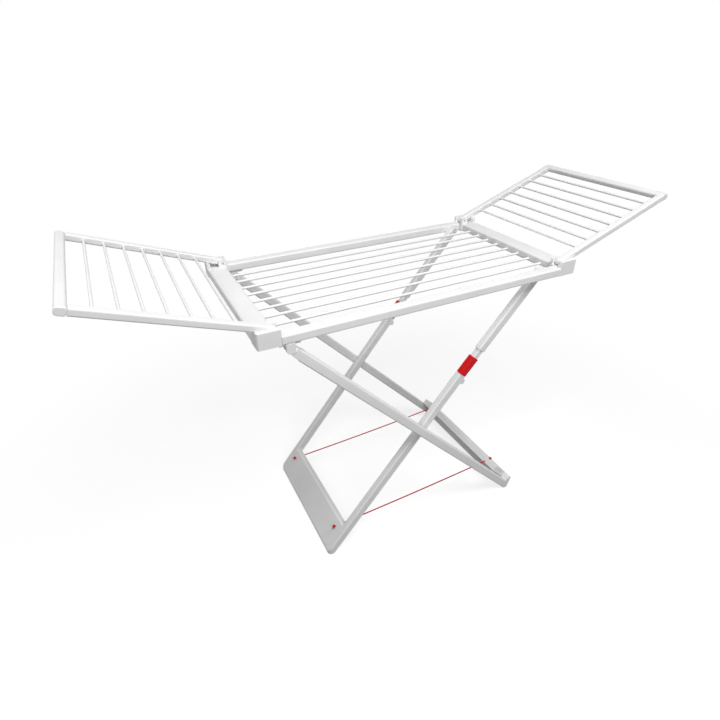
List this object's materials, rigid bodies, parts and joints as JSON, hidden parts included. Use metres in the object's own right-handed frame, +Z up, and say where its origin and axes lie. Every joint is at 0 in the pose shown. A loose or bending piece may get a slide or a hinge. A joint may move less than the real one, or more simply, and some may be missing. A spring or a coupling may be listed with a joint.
{
  "type": "clothes drying rack",
  "caption": "Folding free-standing clothes airer: a deck of rods, wings that tilt up at both ends, and crossing legs with a locking knee that fold flat under the deck.",
  "frame": {"origin": "on the floor under the middle of the overall box", "axes": "+X along the length toward the arm end, +Y from front to back, +Z up"},
  "size_m": [1.7754, 0.55, 1.0925],
  "materials": {
    "white_plastic": "satin moulded white",
    "red_plastic": "gloss moulded red",
    "red_cord": "braided red cord",
    "steel_pins": "plain"
  },
  "bodies": {
    "deck": {"arm_flange_back": "white_plastic", "arm_flange_front": "white_plastic", "arm_pins": "steel_pins", "corner_cap_back_left": "white_plastic", "corner_cap_back_right": "white_plastic", "corner_cap_front_left": "white_plastic", "corner_cap_front_right": "white_plastic", "deck_rod_1": "white_plastic", "deck_rod_2": "white_plastic", "deck_rod_3": "white_plastic", "deck_rod_4": "white_plastic", "deck_rod_5": "white_plastic", "deck_rod_6": "white_plastic", "deck_rod_7": "white_plastic", "deck_rod_8": "white_plastic", "end_bar_left": "white_plastic", "end_bar_right": "white_plastic", "leg_bracket_back": "white_plastic", "leg_bracket_front": "white_plastic", "leg_bracket_pins": "steel_pins", "rail_back": "white_plastic", "rail_front": "white_plastic"},
    "left_wing": {"left_wing_outer_bar": "white_plastic", "left_wing_pivot_pins": "steel_pins", "left_wing_rod_1": "white_plastic", "left_wing_rod_2": "white_plastic", "left_wing_rod_3": "white_plastic", "left_wing_rod_4": "white_plastic", "left_wing_rod_5": "white_plastic", "left_wing_rod_6": "white_plastic", "left_wing_rod_7": "white_plastic", "left_wing_side_bar_back": "white_plastic", "left_wing_side_bar_front": "white_plastic"},
    "right_wing": {"right_wing_outer_bar": "white_plastic", "right_wing_pivot_pins": "steel_pins", "right_wing_rod_1": "white_plastic", "right_wing_rod_2": "white_plastic", "right_wing_rod_3": "white_plastic", "right_wing_rod_4": "white_plastic", "right_wing_rod_5": "white_plastic", "right_wing_rod_6": "white_plastic", "right_wing_rod_7": "white_plastic", "right_wing_side_bar_back": "white_plastic", "right_wing_side_bar_front": "white_plastic"},
    "wide_frame": {"wide_frame_cross_pins": "steel_pins", "wide_frame_foot_bar": "white_plastic", "wide_frame_leg_back": "white_plastic", "wide_frame_leg_front": "white_plastic"},
    "narrow_frame": {"cord_back": "red_cord", "cord_front": "red_cord", "narrow_frame_foot_plate": "white_plastic", "narrow_frame_knee_pins": "steel_pins", "narrow_frame_leg_back": "white_plastic", "narrow_frame_leg_front": "white_plastic"},
    "arm_front": {"arm_front": "white_plastic"},
    "arm_back": {"arm_back": "white_plastic"},
    "sleeve_front": {"lock_sleeve_front": "red_plastic"},
    "sleeve_back": {"lock_sleeve_back": "red_plastic"}
  },
  "joints": [
    {"name": "leg_fold", "type": "hinge", "parent": "deck", "child": "wide_frame", "pos_m": [-0.43, 0, 0.877], "axis": [0, -1, 0], "range_deg": [0, 46.04], "deforming": ["cord_front", "cord_back"]},
    {"name": "arm_front_turn", "type": "hinge", "parent": "deck", "child": "arm_front", "pos_m": [0.413, -0.22825, 0.907], "axis": [0, 1, 0], "range_deg": [0, 49.11]},
    {"name": "arm_back_turn", "type": "hinge", "parent": "deck", "child": "arm_back", "pos_m": [0.413, 0.22825, 0.907], "axis": [0, 1, 0], "range_deg": [0, 49.11]},
    {"name": "knee_turn", "type": "hinge", "parent": "arm_front", "child": "narrow_frame", "pos_m": [0.14676, 0, 0.5766], "axis": [0, -1, 0], "range_deg": [0, 178.61]},
    {"name": "left_wing_fold", "type": "hinge", "parent": "deck", "child": "left_wing", "pos_m": [-0.465, 0, 0.9326], "axis": [0, 1, 0], "range_deg": [0, 160.1]},
    {"name": "right_wing_fold", "type": "hinge", "parent": "deck", "child": "right_wing", "pos_m": [0.465, 0, 0.9326], "axis": [0, -1, 0], "range_deg": [0, 160.1]},
    {"name": "sleeve_front_slide", "type": "slide", "parent": "arm_front", "child": "sleeve_front", "axis": [0.6546, 0, 0.756], "range_m": [0, 0.028]},
    {"name": "sleeve_back_slide", "type": "slide", "parent": "arm_back", "child": "sleeve_back", "axis": [0.6546, 0, 0.756], "range_m": [0, 0.028]}
  ],
  "couplings": [
    {"joint": "arm_front_turn", "follows": "leg_fold", "ratio": 1.0668},
    {"joint": "arm_back_turn", "follows": "leg_fold", "ratio": 1.0668},
    {"joint": "knee_turn", "follows": "leg_fold", "ratio": 3.8798}
  ]
}
